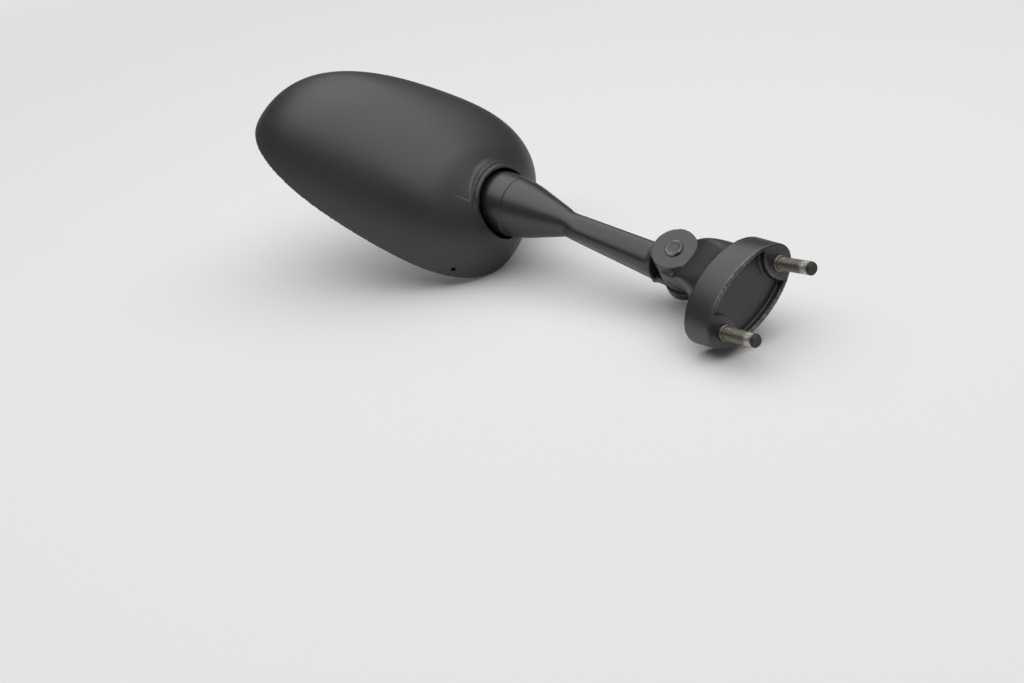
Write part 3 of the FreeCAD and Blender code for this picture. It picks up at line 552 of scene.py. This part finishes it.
# Ball joint: a bolt with a stack of disc springs draws a steel cup and a nylon liner onto the socket.
# The stack is zinc plated and sits out of sight behind the glass; the ball slides in its grip.

ZINC_DULL = (0.3, 0.29, 0.27, 1.0)
ZINC_BRIGHT = (0.5, 0.49, 0.46, 1.0)
NYLON_DULL = (0.66, 0.64, 0.57, 1.0)
NYLON_PALE = (0.74, 0.72, 0.66, 1.0)
NYLON_ROUGHNESS = (0.34, 0.46)

joint_zinc = machined_steel("joint_zinc", ZINC_DULL, ZINC_BRIGHT, grain=2200.0)
for stacked in ("ball_bolt", "bolt_washer", "disc_springs", "pressure_cup"):
    dressed(stacked, joint_zinc)

natural_nylon, tree, principled = shader("natural_nylon")
cloudy = clouds(tree, 200.0)
feed(tree, principled, {
    "Base Color": mixed(tree, ranged(tree, cloudy, *MOST_CLOUDS), NYLON_DULL, NYLON_PALE),
    "Roughness": ranged(tree, cloudy, *MOST_CLOUDS, *NYLON_ROUGHNESS),
    "Normal": bumped(tree, clouds(tree, 1800.0), depth=0.03 * MM, strength=0.3),
})
dressed("friction_liner", natural_nylon)


# Head shell: one moulding in black plastic, a deep dome with a stepped collar round the ball socket.
# The tool's fine spark grain leaves it matt; it has one drain hole and a light scratch by the collar.

SHELL_VOXEL = 0.55 * MM
SHELL_ROUNDING = 4
SHELL_SHARE = 0.36
COLLAR_AXIS = Vector((0.970, -0.170, 0.172)).normalized()
COLLAR_REACH = (46.0 * MM, 24.0 * MM)
COLLAR_RISE = (-8.0 * MM, 2.0 * MM)
COLLAR_SETTLE = Vector((-0.3, -0.2, -0.75)) * MM
COLLAR_DRAW = 0.048

shell = softened("housing_shell", "head_shell", SHELL_VOXEL, SHELL_ROUNDING, SHELL_SHARE)

# The collar is drawn in round the ball, and settles a little.
for vertex in shell.data.vertices:
    out = vertex.co - BALL_FRAME.translation
    rise = out.dot(COLLAR_AXIS)
    flat = out - COLLAR_AXIS * rise
    near = eased(flat.length, *COLLAR_REACH) * eased(rise, *COLLAR_RISE)
    vertex.co += (COLLAR_SETTLE - flat * COLLAR_DRAW) * near

SCRATCH_START = Vector((-162.6, 13.3, 24.3)) * MM
SCRATCH_END = Vector((-157.7, 17.8, 20.5)) * MM
SCRATCH_WIDTH = 0.4 * MM
SCRATCH_CORE = 0.5
MOULDED_BLACK = (0.0105, 0.0104, 0.0096, 1.0)
MOULDED_GREY = (0.014, 0.0138, 0.0127, 1.0)
SCUFFED_GREY = (0.075, 0.074, 0.07, 1.0)
SHELL_ROUGHNESS = (0.43, 0.5)


def scratched(tree):
    """A thin straight scratch on the shell."""
    run = SCRATCH_END - SCRATCH_START
    away = vectors(tree, "SUBTRACT", on_piece(tree), SCRATCH_START)
    along = vectors(tree, "DOT_PRODUCT", away, run.normalized())
    held = place(tree, "Clamp", {"Value": along, "Min": 0.0, "Max": run.length}).outputs["Result"]
    nearest = vectors(tree, "MULTIPLY", run.normalized(), held)
    off = vectors(tree, "DISTANCE", away, nearest)
    return ranged(tree, off, SCRATCH_WIDTH, SCRATCH_WIDTH * SCRATCH_CORE)


spark_grain, tree, principled = shader("spark_grained_black")
grain = shared(tree, skin_grain, Grain=3000.0, Patch=26.0)
speck = shared(tree, lint_specks, Spread=210.0, Size=0.06)["Speck"]
worn = shared(tree, rubbed_edges, From=0.54, To=0.62, Patch=500.0, Gaps=0.5)["Bare"]
black = mixed(tree, grain["Tone"], MOULDED_BLACK, MOULDED_GREY)
dusty = mixed(tree, speck, black, LINT)
feed(tree, principled, {
    "Base Color": mixed(tree, maths(tree, "MAXIMUM", worn, scratched(tree)), dusty, SCUFFED_GREY),
    "Roughness": ranged(tree, grain["Tone"], 0.0, 1.0, *SHELL_ROUGHNESS),
    "Specular IOR Level": SKIN_SHEEN,
    "Normal": bumped(tree, grain["Height"], depth=0.06 * MM, strength=0.45),
})
shell.data.materials.append(spark_grain)
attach(shell, "head")


# Glass carrier: a black moulded plate on four posts, held by small screws from the front.
# A pad of closed-cell foam tape on it carries the glass and takes up the shake of the road.

PLATE_BLACK = (0.022, 0.022, 0.022, 1.0)
PLATE_GREY = (0.034, 0.034, 0.034, 1.0)
PLATE_ROUGHNESS = (0.42, 0.55)
FOAM_BLACK = (0.03, 0.03, 0.033, 1.0)
FOAM_GREY = (0.085, 0.085, 0.09, 1.0)
FOAM_CELLS = 1600.0
FOAM_ROUGHNESS = (0.95, 0.8)

plain_black, tree, principled = shader("plain_moulded_black")
grain = shared(tree, skin_grain, Grain=1400.0, Patch=40.0)
feed(tree, principled, {
    "Base Color": mixed(tree, grain["Tone"], PLATE_BLACK, PLATE_GREY),
    "Roughness": ranged(tree, grain["Tone"], 0.0, 1.0, *PLATE_ROUGHNESS),
    "Normal": bumped(tree, grain["Height"], depth=0.05 * MM, strength=0.3),
})
dressed("backing_plate", plain_black)
dressed("plate_screws", joint_zinc)

closed_cell, tree, principled = shader("closed_cell_foam")
cells = place(tree, "TexVoronoi", {"Vector": on_piece(tree), "Scale": FOAM_CELLS}).outputs["Distance"]
feed(tree, principled, {
    "Base Color": mixed(tree, cells, FOAM_BLACK, FOAM_GREY),
    "Roughness": ranged(tree, cells, 0.0, 1.0, *FOAM_ROUGHNESS),
    "Normal": bumped(tree, cells, depth=0.15 * MM, strength=0.6),
})
dressed("foam_pad", closed_cell)


# Mirror glass: convex, silvered on its back, cut to the rim's outline with a ground edge.
# Light smears of handling break its polish; the ground edge is grey and dull.

RIM_NORMAL = (0.579, -0.050, 0.814)
SILVERED = (0.80, 0.83, 0.84, 1.0)
GROUND_GREY = (0.22, 0.27, 0.26, 1.0)
GROUND_EDGE = (0.7, 0.6)
GROUND_ROUGHNESS = 0.5
GLASS_SMEARS = (0.45, 0.75)
GLASS_ROUGHNESS = (0.015, 0.05)

silvered, tree, principled = shader("silvered_glass")
facing = vectors(tree, "DOT_PRODUCT", place(tree, "TexCoord").outputs["Normal"], RIM_NORMAL)
ground = ranged(tree, maths(tree, "ABSOLUTE", facing), *GROUND_EDGE)
smear = ranged(tree, clouds(tree, 30.0, detail=5.0, roughness=0.7), *GLASS_SMEARS)
polish = ranged(tree, smear, 0.0, 1.0, *GLASS_ROUGHNESS)
feed(tree, principled, {
    "Base Color": mixed(tree, ground, SILVERED, GROUND_GREY),
    "Metallic": 1.0,
    "Roughness": maths(tree, "MAXIMUM", polish, maths(tree, "MULTIPLY", ground, GROUND_ROUGHNESS)),
})
dressed("mirror_glass", silvered)


# Studio: a pale floor under the mirror that runs out into an even pale backdrop, and a soft box overhead.
# The camera stands where the picture was taken, looking down at the foot's end of the mirror.

FLOOR_HALF = 30.0
FLOOR_DROP = 0.1 * MM
FLOOR_FADE = (0.5, 1.6)
FLOOR_PALE = (0.83, 0.835, 0.825, 1.0)
ROOM_PALE = (0.86, 0.87, 0.855, 1.0)
ROOM_LIGHT = 0.14
BOX_SPOT = Vector((-0.12, 0.1, 1.15))
BOX_AIM = Vector((-0.12, 0.03, 0.0))
BOX_SIZE = 2.4
BOX_WATTS = 27.5
CAMERA_SPOT = Vector((193.255, -439.79, 234.296)) * MM
CAMERA_RIGHT = Vector((0.83422, 0.53904, -0.11622))
CAMERA_UP = Vector((-0.16245, 0.44164, 0.88237))
CAMERA_BACK = Vector((0.52695, -0.71721, 0.45599))

floor_mesh = bpy.data.meshes.new("floor")
corners = [(x * FLOOR_HALF, y * FLOOR_HALF, cad_low.z - FLOOR_DROP)
           for x, y in ((-1, -1), (1, -1), (1, 1), (-1, 1))]
floor_mesh.from_pydata(corners, [], [(0, 1, 2, 3)])
floor = added("floor", floor_mesh)
paper, tree, principled = shader("pale_paper")
feed(tree, principled, {"Base Color": FLOOR_PALE, "Roughness": 0.9, "Specular IOR Level": 0.1})
far = ranged(tree, vectors(tree, "DISTANCE", on_piece(tree), (0.0, 0.0, 0.0)), *FLOOR_FADE)
rays = place(tree, "LightPath").outputs
seen = maths(tree, "MAXIMUM", rays["Is Camera Ray"], rays["Is Glossy Ray"])
seen = maths(tree, "MAXIMUM", seen, rays["Is Transmission Ray"])
backdrop = place(tree, "Emission", {"Color": FLOOR_PALE, "Strength": 1.0}).outputs["Emission"]
faded = maths(tree, "MULTIPLY", far, seen)
spread = place(tree, "MixShader", {0: faded, 1: principled.outputs["BSDF"], 2: backdrop})
tree.links.new(spread.outputs["Shader"], tree.nodes["Material Output"].inputs["Surface"])
floor_mesh.materials.append(paper)
floor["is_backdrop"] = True

world = bpy.data.worlds.new("studio")
bpy.context.scene.world = world
world.use_nodes = True
tree = world.node_tree
feed(tree, tree.nodes["Background"], {"Color": ROOM_PALE, "Strength": ROOM_LIGHT})

lamp = bpy.data.lights.new("overhead_box", "AREA")
lamp.shape = "SQUARE"
lamp.size = BOX_SIZE
lamp.energy = BOX_WATTS
box = added("overhead_box", lamp)
box.location = BOX_SPOT
box.rotation_euler = (BOX_AIM - BOX_SPOT).to_track_quat("-Z", "Y").to_euler()

eye = bpy.data.cameras.new("camera")
eye.sensor_width = 36.0
eye.lens = 42.84
eye.clip_start = 0.01
camera = added("camera", eye)
camera_turn = Matrix((CAMERA_RIGHT, CAMERA_UP, CAMERA_BACK)).transposed().to_4x4()
camera.matrix_world = Matrix.Translation(CAMERA_SPOT) @ camera_turn
bpy.context.scene.camera = camera
bpy.context.scene.view_settings.view_transform = "Standard"

low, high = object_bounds()
